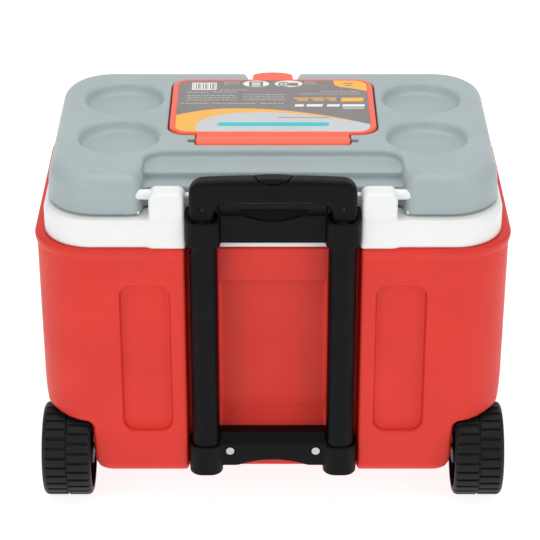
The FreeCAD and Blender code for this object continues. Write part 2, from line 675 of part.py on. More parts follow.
def lid():
    """Top skin, underside and the insulation sealed between them."""
    core_low = "lid_base"
    skin = cut("lid_skin", lid_envelope("lid_outside", "0", "lid_base"),
               lid_envelope("lid_core", "lid_skin", core_low))
    finish(skin, "lid_top")
    slab = box("lid_slab", around("lid_half"), ("rear_y", "front_y"), ("lid_base", "lid_base + lid_skin"))
    pan = common("lid_pan", lid_envelope("lid_pan_core", "lid_skin", core_low), slab)
    plug = plug_block("lid_plug", "0", "plug_low", "lid_base")
    hollow = plug_block("lid_plug_hollow", "lid_skin", "plug_low + lid_skin", "lid_base + lid_skin + 1")
    finish(cut("lid_liner_solid", group("lid_liner_joined", [pan, plug]), hollow), "lid_liner")
    core = lid_envelope("lid_foam_core", "lid_skin", core_low)
    filled = plug_block("lid_foam_plug", "lid_skin", "plug_low + lid_skin", "lid_base + lid_skin + 1")
    above = box("lid_foam_above", around("lid_half"), ("rear_y", "front_y"),
                ("lid_base + lid_skin", "lid_top_z"))
    foam = group("lid_foam_joined", [common("lid_foam_upper", core, above), filled])
    finish(foam, "lid_insulation")


# ---------------------------------------------------------------- hatch

def hatch():
    plate_body = plate("hatch_plate", around("hatch_half"), ("hatch_rear", "hatch_front"),
                       ("hatch_low", "hatch_high"), "hatch_corner")
    rounded = fillet("hatch_plate_round", plate_body, 2, level(read("hatch_high")))
    barrel = rod("hatch_barrel", "barrel_radius", ALONG_X, ("-barrel_half", "barrel_y", "barrel_z"),
                 "2 * barrel_half")
    web = box("hatch_web", around("barrel_half"), ("barrel_y", "hatch_rear + 3"),
              ("barrel_z + 2", "barrel_z + barrel_radius"))
    tab = plate("hatch_tab", around("tab_half"), ("hatch_front - 12", "tab_front"),
                ("hatch_high - 6", "hatch_high"), 8)
    recess = plate("hatch_label_recess", around("label_half"), ("label_rear", "label_front"),
                   ("label_low", "hatch_high + 5"), 14)
    bore = rod("hatch_bore", "hatch_pin_radius + running", ALONG_X,
               ("-barrel_half - 5", "barrel_y", "barrel_z"), "2 * barrel_half + 10")
    frame = cut("hatch_solid", group("hatch_joined", [rounded, barrel, web, tab]), recess, bore)
    finish(frame, "hatch_frame")
    finish(plate("label", around("label_half"), ("label_rear", "label_front"),
                 ("label_low", "label_high"), 14), "hatch_label_panel")
    finish(rod("hatch_pin", "hatch_pin_radius", ALONG_X, ("-hatch_pin_half", "barrel_y", "barrel_z"),
               "2 * hatch_pin_half"), "hatch_hinge_rod")
    outside = hatch_plug("hatch_plug_outside", "0", "hatch_plug_low", "hatch_low")
    inside = hatch_plug("hatch_plug_inside", "2.5", "hatch_plug_low + 2.5", "hatch_low + 1")
    finish(cut("hatch_plug_shell", outside, inside), "hatch_plug")
    finish(hatch_plug("hatch_foam", "2.5", "hatch_plug_low + 2.5", "hatch_low"), "hatch_insulation")
    seal = plate("seal_outside", around("seal_half"), ("well_rear - 6", "well_front + 6"),
                 ("seal_low", "hatch_low"), 18)
    seal_hole = plate("seal_inside", around("seal_half", "-seal_width"), ("well_rear - 1",
                      "well_front + 1"), ("seal_low - 1", "hatch_low + 1"), 14)
    finish(cut("seal", seal, seal_hole), "hatch_seal")


def hatch_plug(name, inset, low, high):
    return plate(name, around("hatch_plug_half", f"-{inset}"), (f"hatch_plug_rear + {inset}",
                 f"hatch_plug_front - {inset}"), (low, high), 14)


# ---------------------------------------------------------------- trolley

def tube_place(side):
    return (f"{side} * tube_x", "trolley_y")


def collars(name, low, high, side, word):
    return plate(f"{name}_{word}", on_side(side, "tube_x - collar_half", "tube_x + collar_half"),
                 ("collar_rear", "rear_y + channel_depth"), (low, high), 9)


def trolley_top_bracket():
    parts = []
    bores = []
    for side, word in SIDES:
        parts.append(collars("top_collar", "top_collar_low", "top_rear_z + 10", side, word))
        bores.append(stadium(f"top_bore_{word}", tube_place(side), "outer_width", "outer_depth",
                             "top_collar_low - 5", "top_rear_z + 20"))
    parts.append(box("top_panel", around("tube_x - outer_width / 2"),
                     ("top_panel_rear", "rear_y + channel_depth"),
                     ("top_panel_low", "top_rear_z + 10")))
    slope = slanted_block("top_slope_block", "collar_rear", "top_rear_z", "top_slope")
    smile = rod("top_smile", "smile_radius", ALONG_Y,
                ("0", "top_panel_rear - 20", "smile_low + smile_radius"), "24")
    finish(cut("top_bracket", group("top_joined", parts), slope, smile, *bores),
           "trolley_top_bracket")


def slanted_block(name, y, z, angle):
    """A block whose lower face passes through a point of the side view and rises towards +Y."""
    block = doc.addObject("Part::Box", name)
    bind(block, "Length", "2 * channel_half + 20")
    bind(block, "Width", "3 * channel_depth")
    bind(block, "Height", "2 * channel_depth")
    block.Placement.Rotation = Rotation(Vector(1, 0, 0), read(angle))
    bind(block, ".Placement.Base.x", "-channel_half - 10")
    bind(block, ".Placement.Base.y", f"{y} - 10 * cos({angle})")
    bind(block, ".Placement.Base.z", f"{z} - 10 * sin({angle})")
    return block


def trolley_bottom_bracket():
    parts = []
    bores = []
    for side, word in SIDES:
        parts.append(collars("low_collar", "low_collar_low", "low_collar_high", side, word))
        bores.append(stadium(f"low_bore_{word}", tube_place(side), "outer_width", "outer_depth",
                             "outer_low", "low_collar_high + 5"))
    bar = box("crossbar", around("tube_x - outer_width / 2"), ("crossbar_rear",
              "rear_y + channel_depth"), ("crossbar_low", "crossbar_high"))
    parts.append(fillet("crossbar_facet", bar, 10, crossbar_edge))
    arch = rod("crossbar_arch", "crossbar_arch", ALONG_Y,
               ("0", "crossbar_rear - 10", "crossbar_low + 7 - crossbar_arch"), "50")
    heads = [rod(f"screw_sink_{word}", "screw_head + 0.4", ALONG_Y,
                 (f"{side} * screw_x", "crossbar_rear - 5", "screw_z"), "7") for side, word in SIDES]
    finish(cut("low_bracket", group("low_joined", parts), arch, *bores, *heads,
               *screw_bores("low_screws", "screw_radius")), "trolley_bottom_bracket")


def crossbar_edge(edge):
    middle = edge.CenterOfMass
    return middle.z > read("crossbar_high") - 0.1 and middle.y < read("crossbar_rear") + 0.1


def bracket_screws():
    """The two screws that hold the lower bracket, as one group of solids."""
    screws = []
    for side, word in SIDES:
        head = rod(f"screw_head_{word}", "screw_head", ALONG_Y,
                   (f"{side} * screw_x", "crossbar_rear - 0.4", "screw_z"), "2.4")
        shank = rod(f"screw_shank_{word}", "screw_radius", ALONG_Y,
                    (f"{side} * screw_x", "crossbar_rear + 1", "screw_z"), "26")
        screws.append(group(f"screw_{word}", [head, shank]))
    finish(group("screws", screws), "bracket_screws")


def hollow_tube(name, side, width, depth, wall, low, high, label):
    solid = stadium(name + "_outside", tube_place(side), width, depth, low, high)
    core = stadium(name + "_inside", tube_place(side), f"{width} - 2 * {wall}",
                   f"{depth} - 2 * {wall}", f"{low} - 5", f"{high} + 5")
    return finish(cut(name, solid, core), label)


def trolley_tubes():
    """Three tubes on each side that slide in one another, and the plugs in their lower ends."""
    for side, word in SIDES:
        hollow_tube(f"outer_{word}", side, "outer_width", "outer_depth", "tube_wall", "outer_low",
                    "outer_high", f"outer_tube_{word}")
        hollow_tube(f"middle_{word}", side, "middle_width", "middle_depth", "tube_wall", "middle_low",
                    "middle_high", f"middle_tube_{word}")
        middle_plug = stadium(f"middle_plug_{word}", tube_place(side), "middle_width", "middle_depth",
                              "middle_low - end_plug", "middle_low")
        finish(middle_plug, f"middle_tube_plug_{word}")
        inner = hollow_tube(f"inner_{word}_uncut", side, "inner_width", "inner_depth", "inner_wall",
                            "inner_low", "inner_high", f"inner_{word}_uncut")
        subparts.remove(inner)
        finish(cut(f"inner_{word}", inner, grip_screw_bore(f"inner_screw_{word}", side)),
               f"inner_tube_{word}")
        inner_plug = stadium(f"inner_plug_{word}", tube_place(side), "inner_width", "inner_depth",
                             "inner_low - end_plug", "inner_low")
        slot = on_side(side, "tube_x - 2.5", "tube_x + inner_width / 2 + 1")
        bore = rod(f"inner_plug_bore_{word}", "lock_pin_radius + running", ALONG_X,
                   (slot[0], "trolley_y", "lock_pin_z"), f"{slot[1]} - ({slot[0]})")
        finish(cut(f"inner_plug_{word}_bored", inner_plug, bore), f"inner_tube_plug_{word}")
        reach = on_side(side, "tube_x + 1.5", "tube_x + inner_width / 2 - 0.2")
        finish(rod(f"pin_bar_{word}", "lock_pin_radius", ALONG_X,
                   (reach[0], "trolley_y", "lock_pin_z"), f"{reach[1]} - ({reach[0]})"),
               f"lock_pin_{word}")


def grip_screw_bore(name, side, radius="1.5"):
    """The line of the screw that holds a tube in its leg of the grip."""
    start = (f"{side} * tube_x", "trolley_y - grip_depth / 2 + 1", "grip_screw_z")
    return rod(name, radius, ALONG_Y, start, "4")


# ---------------------------------------------------------------- handle grip

def grip_depth_limits(grow="0"):
    return (f"trolley_y - grip_depth / 2 - {grow}", f"trolley_y + grip_depth / 2 + {grow}")


def leg_trim(side, word):
    """What is taken off the foot of a leg, so that it drops into its collar."""
    around_leg = box(f"leg_trim_block_{word}", on_side(side, "leg_in - 5", "grip_half + 5"),
                     ("collar_rear", "bar_front + 5"), ("leg_low - 5", "leg_shoulder"))
    leg = plate(f"leg_trim_leg_{word}", on_side(side, "leg_in", "grip_half"), grip_depth_limits(),
                ("leg_low - 10", "leg_shoulder + 5"), "leg_corner")
    return cut(f"leg_trim_{word}", around_leg, leg)


def handle_grip():
    """A bar with two legs, hollow for the release bar and open below for the inner tubes."""
    depth = ("trolley_y - grip_depth / 2", "bar_front")
    bar = box("grip_bar", around("grip_half"), depth, ("bar_low", "grip_top"))
    legs = [box(f"grip_leg_{word}", on_side(side, "leg_in", "grip_half"), depth,
                ("leg_low", "bar_low + 1")) for side, word in SIDES]
    joined = group("grip_joined", [bar] + legs)
    cornered = fillet("grip_cornered", joined, read("grip_corner"), grip_corner_edge)
    crowned = fillet("grip_crowned", cornered, read("grip_round"), grip_top_edge)
    soft = cut("grip_soft", crowned, *[leg_trim(side, word) for side, word in SIDES])
    slot = box("grip_slot", around("tube_x + 5"), ("trolley_y - 4.2", "trolley_y + 4.2"),
               ("bar_slot_low", "bar_slot_high"))
    mouth = plate("grip_button_hole", around("button_half", "0.4"),
                  ("trolley_y - button_depth / 2 - 0.4", "trolley_y + button_depth / 2 + 0.4"),
                  ("button_low - button_travel - 0.3", "grip_top + 5"), 5)
    sockets = [stadium(f"grip_socket_{word}", tube_place(side), "inner_width", "inner_depth",
                       "leg_low - 5", "bar_slot_low + 0.5") for side, word in SIDES]
    bores = [grip_screw_bore(f"grip_bore_{word}", side) for side, word in SIDES]
    heads = [rod(f"grip_head_bore_{word}", 3, ALONG_Y, (f"{side} * tube_x",
             "trolley_y - grip_depth / 2 - 2", "grip_screw_z"), "3") for side, word in SIDES]
    finish(cut("grip", soft, slot, mouth, *sockets, *bores, *heads), "handle_grip")
    screws = []
    for side, word in SIDES:
        head = rod(f"grip_head_{word}", 2.6, ALONG_Y, (f"{side} * tube_x",
                   "trolley_y - grip_depth / 2 + 0.2", "grip_screw_z"), "0.8")
        shank = grip_screw_bore(f"grip_shank_{word}", side)
        screws.append(group(f"grip_screw_{word}", [head, shank]))
    finish(group("grip_screw_pair", screws), "grip_screws")


def grip_corner_edge(edge):
    """True for the grip's upper outer corners and for the corners inside its legs."""
    middle = edge.CenterOfMass
    outer = middle.z > read("grip_top") - 0.1
    inner = abs(middle.z - read("bar_low")) < 0.1 and abs(abs(middle.x) - read("leg_in")) < 0.1
    return along_y(edge) and (outer or inner)


def grip_top_edge(edge):
    """True for the two long upper edges of the grip."""
    middle = edge.CenterOfMass
    return middle.z > read("grip_top") - 0.1 and not along_y(edge)


def release():
    """The push button, the bar under it, its two push rods and the return spring."""
    button = plate("button_block", around("button_half"),
                   ("trolley_y - button_depth / 2", "trolley_y + button_depth / 2"),
                   ("button_low", "button_high"), 5)
    finish(fillet("button_round", button, 1, level(read("button_high"))), "release_button")
    finish(box("bar_block", around("tube_x + 3"), ("trolley_y - 3", "trolley_y + 3"),
               ("release_bar_low", "release_bar_high")), "release_bar")
    for side, word in SIDES:
        finish(rod(f"push_{word}", "push_rod_radius", ALONG_Z, (f"{side} * tube_x", "trolley_y",
               "inner_low + 4"), "release_bar_low - inner_low - 4"), f"push_rod_{word}")
    height = read("release_bar_low") - read("bar_slot_low")
    turns = 5
    wire = 0.5
    pitch = (height - 2 * wire) / turns
    helix = Part.makeHelix(pitch, height - 2 * wire, 2.6)
    section = Part.Wire([Part.makeCircle(wire, Vector(2.6, 0, 0), Vector(0, 1, 0))])
    coil = doc.addObject("Part::Feature", "spring_coil")
    coil.Shape = Part.Wire(helix.Edges).makePipeShell([section], True, True)
    coil.Placement = FreeCAD.Placement(Vector(0, read("trolley_y"), read("bar_slot_low") + wire),
                                       Rotation())
    finish(coil, "button_spring")


# ---------------------------------------------------------------- whole model

def check_and_write():
    """Stops if anything failed, then writes one file for each sub-part."""
    for item in doc.Objects:
        if "Invalid" in item.State or "Error" in item.State:
            raise RuntimeError(f"{item.Name} failed: {item.State}")
    for item in subparts:
        if item.Shape.isNull() or not item.Shape.isValid():
            raise RuntimeError(f"{item.Label} has no valid shape")
    os.makedirs("parts", exist_ok=True)
    for item in subparts:
        item.Shape.exportStep(os.path.join("parts", item.Label + ".step"))
        limits = item.Shape.BoundBox
        print(f"{item.Label:26s} {len(item.Shape.Solids)} solid  {item.Shape.Volume / 1000:9.2f} cm3 "
              f"x {limits.XMin:7.1f} {limits.XMax:7.1f}  y {limits.YMin:7.1f} {limits.YMax:7.1f}  "
              f"z {limits.ZMin:6.1f} {limits.ZMax:6.1f}")


def build():
    fill_sheet()
    outer_shell()
    body_insulation()
    inner_liner()
    drain()
    lid_hinge_pins()
    axle()
    for side, word in SIDES:
        wheel(side, word)
    axle_caps()
    lid()
    hatch()
    trolley_top_bracket()
    trolley_bottom_bracket()
    bracket_screws()
    trolley_tubes()
    handle_grip()
    release()
    doc.recompute()
    check_and_write()


build()
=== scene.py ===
import math

import bpy
import numpy as np
import openvdb
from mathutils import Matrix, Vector


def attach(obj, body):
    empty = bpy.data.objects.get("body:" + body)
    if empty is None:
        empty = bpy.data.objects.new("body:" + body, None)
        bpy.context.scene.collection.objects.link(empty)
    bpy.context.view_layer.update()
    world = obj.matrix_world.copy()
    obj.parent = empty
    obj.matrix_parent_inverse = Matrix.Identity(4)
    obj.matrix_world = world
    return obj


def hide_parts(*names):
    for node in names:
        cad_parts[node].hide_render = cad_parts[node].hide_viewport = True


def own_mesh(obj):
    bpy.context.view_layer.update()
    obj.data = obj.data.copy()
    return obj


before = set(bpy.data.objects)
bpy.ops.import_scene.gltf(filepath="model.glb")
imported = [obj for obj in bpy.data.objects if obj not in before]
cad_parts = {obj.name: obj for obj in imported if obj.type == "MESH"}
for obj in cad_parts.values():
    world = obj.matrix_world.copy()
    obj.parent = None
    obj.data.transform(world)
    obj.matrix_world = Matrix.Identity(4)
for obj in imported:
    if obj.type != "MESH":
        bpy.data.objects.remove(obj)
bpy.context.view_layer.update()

MM = 0.001

# ---------------------------------------------------------------- shapes as distance fields
# Every moulded piece is a field of distances in millimetres: negative inside, positive outside.


class Space:
    """An even grid of points, in millimetres, that covers a box with a small margin."""

    def __init__(self, low, high, step):
        self.step = step
        self.low = np.array(low, float) - 2.5 * step
        self.count = np.ceil((np.array(high) - self.low) / step + 2.5).astype(int)
        axes = [self.low[i] + step * np.arange(self.count[i]) for i in range(3)]
        grids = np.meshgrid(*axes, indexing="ij", sparse=True)
        self.x, self.y, self.z = (g.astype(np.float32) for g in grids)


def both(a, b, radius=0.0):
    """What lies in both shapes, with the edge between them rounded."""
    if not radius:
        return np.maximum(a, b)
    corner = np.hypot(np.maximum(a + radius, 0), np.maximum(b + radius, 0))
    return np.minimum(np.maximum(a, b), -radius) + corner


def join(a, b, radius=0.0):
    """Both shapes together, with a fillet where they meet."""
    return -both(-a, -b, radius)


def cut(a, b, radius=0.0):
    """The first shape less the second, with a rounded rim."""
    return both(a, -b, radius)


def slab(w, low, high):
    return np.abs(w - (low + high) / 2) - (high - low) / 2


def rectangle(u, v, u_low, u_high, v_low, v_high, radius):
    """A rectangle with rounded corners, without end in the third direction."""
    du = slab(u, u_low, u_high) + radius
    dv = slab(v, v_low, v_high) + radius
    outside = np.hypot(np.maximum(du, 0), np.maximum(dv, 0))
    return outside + np.minimum(np.maximum(du, dv), 0) - radius


def circle(u, v, u_mid, v_mid, radius):
    return np.hypot(u - u_mid, v - v_mid) - radius


def sample(field, place):
    """The field between its grid points."""
    cell = np.clip(np.floor(place).astype(int), 0, np.array(field.shape) - 2)
    part = place - cell
    total = np.zeros(len(place))
    for corner in np.ndindex(2, 2, 2):
        weight = np.prod(np.where(np.array(corner) == 1, part, 1 - part), axis=1)
        total += weight * field[tuple((cell + corner).T)]
    return total


def sculpt(name, space, field, material, body, nodes, keep=1.0):
    """A mesh of the field's surface, thinned to a share of its faces, shaded by the field's own slope."""
    field = np.broadcast_to(field, space.count)
    field = np.ascontiguousarray(np.clip(field, -4 * space.step, 4 * space.step), np.float32)
    volume = openvdb.FloatGrid()
    volume.copyFromArray(field)
    points, triangles, quads = volume.convertToPolygons(isovalue=0.0, adaptivity=0.0)
    mesh = bpy.data.meshes.new(name)
    corners = quads.tolist() + triangles.tolist()
    mesh.from_pydata((points * space.step + space.low) * MM, [], corners)
    piece = bpy.data.objects.new(name, mesh)
    bpy.context.scene.collection.objects.link(piece)
    if keep < 1:
        piece.modifiers.new("thin", "DECIMATE").ratio = keep
        graph = bpy.context.evaluated_depsgraph_get()
        thin = bpy.data.meshes.new_from_object(piece.evaluated_get(graph))
        piece.modifiers.clear()
        piece.data = thin
        bpy.data.meshes.remove(mesh)
        mesh = thin
    shade_by_field(mesh, space, field)
    return dress(piece, material, body, nodes)


def shade_by_field(mesh, space, field):
    """Smooth normals from the field, so thinning leaves no facets in the shading."""
    place = np.empty(len(mesh.vertices) * 3, np.float32)
    mesh.vertices.foreach_get("co", place)
    place = (place.reshape(-1, 3) / MM - space.low) / space.step
    slope = []
    for axis in np.eye(3):
        slope.append(sample(field, place + 0.6 * axis) - sample(field, place - 0.6 * axis))
    slope = np.stack(slope, axis=1)
    length = np.linalg.norm(slope, axis=1, keepdims=True)
    slope /= np.maximum(length, 1e-6)
    mesh.polygons.foreach_set("use_smooth", np.ones(len(mesh.polygons), bool))
    mesh.normals_split_custom_set_from_vertices(slope.tolist())


def dress(piece, material, body, nodes):
    """Gives a piece its finish, its body and the nodes it stands for."""
    piece.data.materials.clear()
    piece.data.materials.append(material)
    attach(piece, body)
    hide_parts(*nodes)
    return piece


# ---------------------------------------------------------------- materials


class Nodes:
    """A short way to write a material's nodes."""

    def __init__(self, name):
        self.material = bpy.data.materials.new(name)
        self.material.use_nodes = True
        self.tree = self.material.node_tree
        self.shader = self.tree.nodes["Principled BSDF"]

    def add(self, kind, inputs=None, **settings):
        node = self.tree.nodes.new("ShaderNode" + kind)
        for key, value in settings.items():
            setattr(node, key, value)
        for key, value in (inputs or {}).items():
            if isinstance(value, bpy.types.NodeSocket):
                self.tree.links.new(value, node.inputs[key])
            else:
                node.inputs[key].default_value = value
        return node

    def noise(self, scale, detail=3.0, roughness=0.55, stretch=(1, 1, 1)):
        place = self.add("TexCoord").outputs["Object"]
        if stretch != (1, 1, 1):
            place = self.add("Mapping", {"Vector": place, "Scale": stretch}).outputs[0]
        return self.add("TexNoise", {"Vector": place, "Scale": scale, "Detail": detail,
                                     "Roughness": roughness}).outputs["Fac"]

    def spread(self, value, from_low, from_high, to_low, to_high):
        return self.add("MapRange", {"Value": value, "From Min": from_low, "From Max": from_high,
                                     "To Min": to_low, "To Max": to_high}).outputs[0]

    def mix(self, amount, a, b, how="MIX"):
        node = self.add("Mix", data_type="RGBA", blend_type=how)
        for key, value in ((0, amount), (6, a), (7, b)):
            if isinstance(value, bpy.types.NodeSocket):
                self.tree.links.new(value, node.inputs[key])
            else:
                node.inputs[key].default_value = value
        return node.outputs[2]

    def calc(self, how, a, b):
        return self.add("Math", {0: a, 1: b}, operation=how).outputs[0]

    def link(self, socket, target):
        self.tree.links.new(socket, self.shader.inputs[target])


def linear(red, green, blue):
    """Shader values of an sRGB colour given in 0 to 255."""
    values = []
    for c in (red, green, blue):
        c /= 255
        values.append(c / 12.92 if c <= 0.04045 else ((c + 0.055) / 1.055) ** 2.4)
    return (*values, 1.0)


def tinted(color, factor):
    return (*(min(1.0, c * factor) for c in color[:3]), 1.0)


def moulded(name, color, roughness, grain=700.0, depth=0.00012, wear=0.35, worn=None, gloss=0.4,
            patch=0.06):
    """Moulded plastic: fine grain, cloudy colour, rubbed edges and a little uneven gloss."""
    n = Nodes(name)
    cloud = n.spread(n.noise(14.0, 4.0), 0.3, 0.7, 0.0, 1.0)
    base = n.mix(cloud, tinted(color, 1 - patch), tinted(color, 1 + patch))
    speck = n.spread(n.noise(grain * 0.6, 2.0), 0.35, 0.65, 0.0, 1.0)
    base = n.mix(n.calc("MULTIPLY", speck, 0.25), base, tinted(color, 0.9))
    edge = n.spread(n.add("NewGeometry").outputs["Pointiness"], 0.53, 0.62, 0.0, 1.0)
    rubbed = n.calc("MULTIPLY", edge, n.spread(n.noise(60.0, 5.0), 0.4, 0.7, 0.2, 1.0))
    worn = worn or tinted(color, 1.25)
    base = n.mix(n.calc("MULTIPLY", rubbed, wear), base, worn)
    n.link(base, "Base Color")
    smear = n.spread(n.noise(22.0, 5.0), 0.3, 0.7, -0.05, 0.06)
    rough = n.calc("ADD", smear, roughness)
    rough = n.calc("SUBTRACT", rough, n.calc("MULTIPLY", rubbed, 0.08))
    n.link(rough, "Roughness")
    fine = n.noise(grain, 2.0, 0.5)
    coarse = n.noise(grain * 0.28, 2.0, 0.5)
    height = n.calc("ADD", n.calc("MULTIPLY", fine, 0.65), n.calc("MULTIPLY", coarse, 0.35))
    bump = n.add("Bump", {"Height": height, "Strength": 0.7, "Distance": depth})
    n.link(bump.outputs[0], "Normal")
    n.shader.inputs["Specular IOR Level"].default_value = gloss
    return n.material


def metal(name, color, roughness, stretch=(1, 1, 1), scale=900.0):
    """Brushed or turned metal with fine lines and dull patches."""
    n = Nodes(name)
    cloud = n.spread(n.noise(40.0, 4.0), 0.3, 0.7, 0.0, 1.0)
    n.link(n.mix(cloud, tinted(color, 0.88), tinted(color, 1.08)), "Base Color")
    lines = n.noise(scale, 3.0, 0.6, stretch)
    n.link(n.spread(lines, 0.25, 0.75, roughness - 0.08, roughness + 0.12), "Roughness")
    bump = n.add("Bump", {"Height": lines, "Strength": 0.35, "Distance": 0.00006})
    n.link(bump.outputs[0], "Normal")
    n.shader.inputs["Metallic"].default_value = 1.0
    return n.material


RED = moulded("red_polyethylene", linear(216, 44, 28), 0.46, grain=520.0, depth=0.00045, wear=0.30)
WHITE = moulded("white_polyethylene", linear(236, 238, 236), 0.33, grain=800.0, depth=0.00006,
                wear=0.2, patch=0.02)
GREY = moulded("grey_polyethylene", linear(164, 176, 178), 0.42, grain=640.0, depth=0.00026,
               wear=0.30, patch=0.03)
CORAL = moulded("coral_polypropylene", linear(255, 98, 70), 0.34, grain=900.0, depth=0.00006,
                wear=0.25, patch=0.03)
BLACK = moulded("black_nylon", linear(7, 7, 8), 0.45, grain=900.0, depth=0.00012, wear=0.5,
                worn=linear(55, 55, 57), patch=0.15, gloss=0.13)
TYRE = moulded("wheel_plastic", linear(16, 16, 18), 0.5, grain=600.0, depth=0.00022, wear=0.6,
               worn=linear(64, 64, 66), patch=0.2, gloss=0.25)
RUBBER = moulded("seal_rubber", linear(90, 92, 94), 0.6, grain=500.0, depth=0.0002, wear=0.2,
                 patch=0.08)
FOAM = moulded("insulating_foam", linear(238, 226, 190), 0.85, grain=420.0, depth=0.0006, wear=0.0)
TUBE = metal("black_coated_tube", linear(30, 30, 32), 0.42, (1, 1, 0.04))
BLACKED = metal("blackened_screw", linear(44, 44, 46), 0.35)
BARE = metal("anodised_tube", linear(196, 198, 202), 0.28, (1, 1, 0.03))
STEEL = metal("zinc_steel", linear(190, 192, 196), 0.25)

# ---------------------------------------------------------------- sizes in millimetres
BODY_HALF, BODY_REAR, BODY_FRONT, BODY_LOW, BODY_TOP = 254, -150, 170, 36, 316
BODY_CORNER, BODY_DRAFT = 56, 0.6
FLANK_X, FLANK_Z, FLANK_ROUND = 124, 146, 130
CHANNEL_HALF, CHANNEL_Y = 93, -130
NICHE_HALF, NICHE_Y, NICHE_LOW, NICHE_HIGH = 59, -117, 96, 267
NICHE_LIP, NICHE_SLOPE = 82, math.radians(58)
STRIP_LOW = 308
PANEL_IN, PANEL_OUT, PANEL_LOW, PANEL_HIGH, PANEL_DEPTH = 110, 163, 92, 272, 9
FOOT_IN, FOOT_OUT, FOOT_REAR, FOOT_FRONT, FOOT_TOP = 108, 208, 84, 158, 54
POCKET_MID, POCKET_HALF, POCKET_LOW, POCKET_X = 10, 62, 204, 229
LIP_HALF, LIP_LOW, LIP_HIGH, LIP_REACH, LIP_ROUND = 75, 258, 306, 258, 471.75
AXLE_Y, AXLE_Z, WHEEL_RADIUS, WHEEL_IN, WHEEL_OUT = -118, 52, 52, 200, 254
DRAIN_X, DRAIN_Z = -150, 108
RIM_HALF, RIM_REAR, RIM_FRONT, RIM_TOP = 244, -149, 167, 348
CAVITY_HALF, CAVITY_REAR, CAVITY_FRONT, CAVITY_LOW, CAVITY_DRAFT = 212, -98, 135, 66, 1.5
HUMP_IN, HUMP_FRONT, HUMP_TOP = 181, -44, 126
LID_HALF, LID_REAR, LID_FRONT, LID_LOW, LID_TOP = 240, -139, 166, 350.5, 392
TRAY_HALF, TRAY_FRONT = 137, -63
CUP_X, CUP_ROWS, CUP_ROUND = 167, (-27, 80), 45
HATCH_HALF, HATCH_REAR, HATCH_FRONT, HATCH_TOP = 113.5, -22, 131, 394
BARREL_Y, BARREL_Z, BARREL_HALF = -39, 384.5, 83
TUBE_X, TUBE_Y = 73.25, -147
COLLAR_IN, COLLAR_OUT, COLLAR_REAR = 55, 91.5, -161.5
GRIP_HALF, GRIP_TOP, GRIP_REAR, GRIP_FRONT = 87.5, 397.3, -155.2, -135.6
LEG_IN, LEG_LOW = 61.5, 350
SCREW_X, SCREW_Z = 74.5, 364.5
LENS_RISE, LENS_TILT, LENS_MID = 0.8886, 0.4587, 302.6
BUTTON_FRONT, BUTTON_REAR = -138.1, -153.4

# ---------------------------------------------------------------- moulded pieces


def narrowing(distance, degrees):
    """How far a drafted wall leans in over a height."""
    return distance * math.tan(math.radians(degrees))


def body_block(s):
    """The tapered block with its rounded lower flanks and the bead round its top."""
    outline = rectangle(s.x, s.y, -BODY_HALF, BODY_HALF, BODY_REAR, BODY_FRONT, BODY_CORNER)
    outline = outline + narrowing(BODY_TOP - s.z, BODY_DRAFT)
    block = both(outline, BODY_LOW - s.z, 14)
    out = np.maximum(np.abs(s.x) - FLANK_X, 0)
    down = np.maximum(FLANK_Z - s.z, 0)
    block = both(block, np.hypot(out, down) - FLANK_ROUND, 5)
    bead = both(outline - 0.9, slab(s.z, BODY_TOP - 7.5, BODY_TOP), 1.5)
    return both(join(both(block, s.z - BODY_TOP, 2), bead, 3), s.y - BODY_FRONT)


def with_feet(s, body):
    foot = rectangle(np.abs(s.x), s.y, FOOT_IN, FOOT_OUT, FOOT_REAR, FOOT_FRONT, 12)
    foot = foot + (FOOT_TOP - s.z) * 0.015
    return join(body, both(foot, slab(s.z, 0, FOOT_TOP), 2.5), 8)


def with_side_grips(s, body):
    """A bowed lip on each side with a pocket for the fingers under and behind it."""
    side = np.abs(s.x)
    bow = np.hypot(side - LIP_REACH + LIP_ROUND, s.y - POCKET_MID) - LIP_ROUND
    lip = both(bow, slab(s.z, LIP_LOW, LIP_HIGH), 5)
    lip = both(lip, slab(s.y, POCKET_MID - LIP_HALF, POCKET_MID + LIP_HALF), 4)
    ends = (POCKET_MID - POCKET_HALF, POCKET_MID + POCKET_HALF)
    pocket = both(rectangle(s.y, s.z, *ends, POCKET_LOW, LIP_LOW, 8), POCKET_X - side, 6)
    behind = both(rectangle(s.y, s.z, *ends, 230, 288, 5), slab(side, POCKET_X, POCKET_X + 14), 4)
    return cut(cut(join(body, lip, 2), pocket, 4), behind, 1)


def with_rear_recesses(s, body):
    """The trolley's channel, the niche in it with a slanted lower lip, and the two side panels."""
    x, y, z = s.x, s.y, s.z
    body = cut(body, both(slab(x, -CHANNEL_HALF, CHANNEL_HALF), y - CHANNEL_Y, 4), 3.5)
    niche = both(rectangle(x, z, -NICHE_HALF, NICHE_HALF, NICHE_LOW, NICHE_HIGH, 4), y - NICHE_Y, 4)
    slope = NICHE_LIP - z + (y - CHANNEL_Y) * math.tan(NICHE_SLOPE)
    lip = both(slope * math.cos(NICHE_SLOPE), slab(x, -NICHE_HALF, NICHE_HALF), 2)
    lip = both(both(lip, z - NICHE_LOW - 16), y - NICHE_Y)
    niche = join(both(niche, NICHE_LOW + 7 - z), lip)
    body = cut(body, niche, 2.5)
    strip_room = both(slab(x, -CHANNEL_HALF, CHANNEL_HALF), STRIP_LOW - z)
    body = cut(body, both(strip_room, y + 121))
    panel = rectangle(np.abs(x), z, PANEL_IN, PANEL_OUT, PANEL_LOW, PANEL_HIGH, 13)
    return cut(body, both(panel, y - BODY_REAR - PANEL_DEPTH, 3), 2.2)


